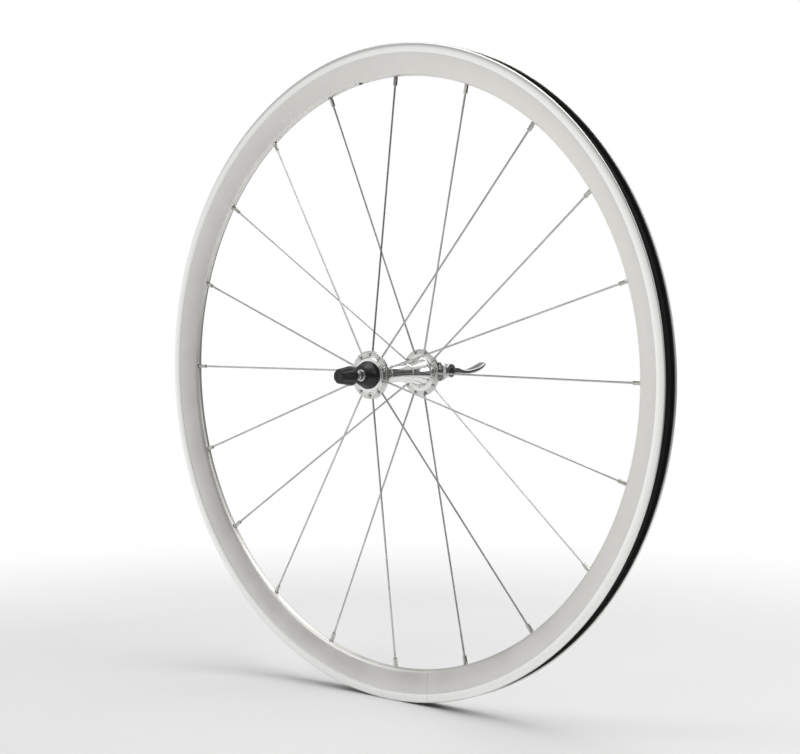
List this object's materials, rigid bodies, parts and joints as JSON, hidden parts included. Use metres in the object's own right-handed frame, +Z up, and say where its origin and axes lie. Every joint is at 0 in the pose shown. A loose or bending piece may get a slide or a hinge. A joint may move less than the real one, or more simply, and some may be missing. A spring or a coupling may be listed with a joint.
{
  "type": "bicycle front wheel",
  "caption": "Bicycle front wheel with radial spokes, a box-section rim with brake tracks, a flanged cartridge-bearing hub and a cam-lever quick-release skewer.",
  "frame": {"origin": "middle of the axle, in the rim's middle plane", "axes": "+Y along the axle towards the skewer's lever (the rider's left), +X forwards, +Z up"},
  "size_m": [0.634, 0.2116, 0.634],
  "materials": {
    "rim": "fine bead-blasted silver with machined brake tracks",
    "bare_aluminium": "turned, satin",
    "polished_aluminium": "polished",
    "black_cap": "satin black anodised aluminium",
    "spoke_steel": "drawn stainless wire",
    "nipple": "nickel-plated brass",
    "bearing_steel": "ground",
    "ball_steel": "polished",
    "skewer_steel": "dark satin",
    "spring_steel": "drawn wire",
    "nylon": "moulded nylon",
    "black_plastic": "moulded, satin",
    "seal_rubber": "moulded",
    "tape": "woven nylon strip"
  },
  "bodies": {
    "axle_set": {"axle": "bare_aluminium", "end_cap_left": "black_cap", "end_cap_right": "black_cap", "lock_ring_left": "bare_aluminium", "lock_ring_right": "bare_aluminium", "bearing_left_inner_race": "bearing_steel", "bearing_right_inner_race": "bearing_steel"},
    "wheel": {"rim": "rim", "rim_joint_sleeve": "bare_aluminium", "rim_tape": "tape", "spokes_left": "spoke_steel", "spokes_right": "spoke_steel", "nipples_left": "nipple", "nipples_right": "nipple", "hub_shell": "polished_aluminium", "bearing_left_outer_race": "bearing_steel", "bearing_right_outer_race": "bearing_steel", "bearing_left_seals": "seal_rubber", "bearing_right_seals": "seal_rubber"},
    "ball_set_left": {"bearing_left_balls": "ball_steel", "bearing_left_cage": "nylon"},
    "ball_set_right": {"bearing_right_balls": "ball_steel", "bearing_right_cage": "nylon"},
    "rod": {"skewer_rod": "skewer_steel", "lever_pin": "skewer_steel", "spring_left": "spring_steel", "spring_right": "spring_steel"},
    "lever": {"lever": "polished_aluminium"},
    "cup": {"clamp_cup": "bare_aluminium", "cam_pad": "black_plastic"},
    "nut_travel": {"nut_insert": "nylon"},
    "nut": {"nut_core": "bearing_steel", "nut_cap": "black_plastic"}
  },
  "joints": [
    {"name": "wheel_spin", "type": "hinge", "parent": "axle_set", "child": "wheel", "pos_m": [0, 0, 0], "axis": [0, 1, 0], "continuous": true},
    {"name": "ball_set_left_spin", "type": "hinge", "parent": "axle_set", "child": "ball_set_left", "pos_m": [0, 0.0365, 0], "axis": [0, 1, 0], "continuous": true},
    {"name": "ball_set_right_spin", "type": "hinge", "parent": "axle_set", "child": "ball_set_right", "pos_m": [0, -0.0365, 0], "axis": [0, 1, 0], "continuous": true},
    {"name": "skewer_turn", "type": "hinge", "parent": "axle_set", "child": "rod", "pos_m": [0, 0, 0], "axis": [0, 1, 0], "continuous": true},
    {"name": "lever_turn", "type": "hinge", "parent": "rod", "child": "lever", "pos_m": [0, 0.075, 0], "axis": [1, 0, 0], "range_deg": [-90, 90]},
    {"name": "cup_slide", "type": "slide", "parent": "rod", "child": "cup", "axis": [0, -1, 0], "range_m": [-0.0009, 0.0009], "deforming": ["spring_left"]},
    {"name": "nut_advance", "type": "slide", "parent": "rod", "child": "nut_travel", "axis": [0, 1, 0], "range_m": [-0.0048, 0.004], "deforming": ["spring_right"]},
    {"name": "nut_turn", "type": "hinge", "parent": "nut_travel", "child": "nut", "pos_m": [0, -0.067, 0], "axis": [0, 1, 0], "range_deg": [-2160, 1800]}
  ],
  "couplings": [
    {"joint": "ball_set_left_spin", "follows": "wheel_spin", "ratio": 0.5992},
    {"joint": "ball_set_right_spin", "follows": "wheel_spin", "ratio": 0.5992},
    {"joint": "cup_slide", "follows": "lever_turn", "m_per_rad": 0.00057296},
    {"joint": "nut_advance", "follows": "nut_turn", "m_per_rad": 0.00012732}
  ]
}
